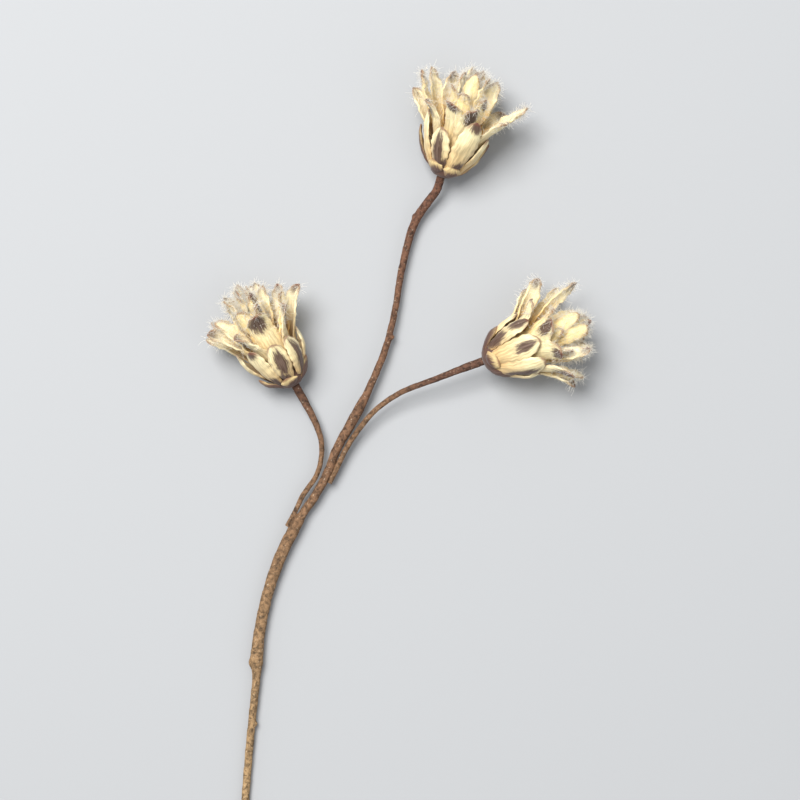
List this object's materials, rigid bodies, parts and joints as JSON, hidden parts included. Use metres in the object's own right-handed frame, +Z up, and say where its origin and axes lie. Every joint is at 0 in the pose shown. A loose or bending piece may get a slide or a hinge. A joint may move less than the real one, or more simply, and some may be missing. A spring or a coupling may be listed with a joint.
{
  "type": "king protea flower spray",
  "caption": "Branched spray of dried-look protea flowers with pointed, brown-tipped cream bracts on bark-covered stems, lying flat.",
  "frame": {"origin": "on the resting surface, at the middle of the spray's length and width", "axes": "+Y from the cut end of the stem towards the top flower, +Z up from the surface, +X to the right seen from above"},
  "size_m": [0.2128, 0.4275, 0.0437],
  "materials": {
    "stem": "matt brown bark with paper-like wrapping",
    "receptacle": "matt purple-brown, slightly waxy",
    "bract": "matt dry bract, cream with purple-brown patches",
    "petal": "matt dry petal, cream-yellow with brown tips and fine hairs"
  },
  "bodies": {
    "root": {"main_stem": "stem", "left_branch": "stem", "right_branch": "stem", "top_calyx": "receptacle", "top_outer_bract_1": "bract", "top_outer_bract_2": "bract", "top_outer_bract_3": "bract", "top_outer_bract_4": "bract", "top_outer_bract_5": "bract", "top_outer_bract_6": "bract", "top_outer_bract_7": "bract", "top_flared_bract_1": "bract", "top_flared_bract_2": "bract", "top_flared_bract_3": "bract", "top_flared_bract_4": "bract", "top_flared_bract_5": "bract", "top_flared_bract_6": "bract", "top_flared_bract_7": "bract", "top_flared_bract_8": "bract", "top_inner_petals": "petal", "top_upper_petals": "petal", "top_centre_petals": "petal", "left_calyx": "receptacle", "left_outer_bract_1": "bract", "left_outer_bract_2": "bract", "left_outer_bract_3": "bract", "left_outer_bract_4": "bract", "left_outer_bract_5": "bract", "left_outer_bract_6": "bract", "left_outer_bract_7": "bract", "left_flared_bract_1": "bract", "left_flared_bract_2": "bract", "left_flared_bract_3": "bract", "left_flared_bract_4": "bract", "left_flared_bract_5": "bract", "left_flared_bract_6": "bract", "left_flared_bract_7": "bract", "left_flared_bract_8": "bract", "left_inner_petals": "petal", "left_upper_petals": "petal", "left_centre_petals": "petal", "right_calyx": "receptacle", "right_outer_bract_1": "bract", "right_outer_bract_2": "bract", "right_outer_bract_3": "bract", "right_outer_bract_4": "bract", "right_outer_bract_5": "bract", "right_outer_bract_6": "bract", "right_outer_bract_7": "bract", "right_flared_bract_1": "bract", "right_flared_bract_2": "bract", "right_flared_bract_3": "bract", "right_flared_bract_4": "bract", "right_flared_bract_5": "bract", "right_flared_bract_6": "bract", "right_flared_bract_7": "bract", "right_flared_bract_8": "bract", "right_inner_petals": "petal", "right_upper_petals": "petal", "right_centre_petals": "petal"}
  },
  "joints": []
}
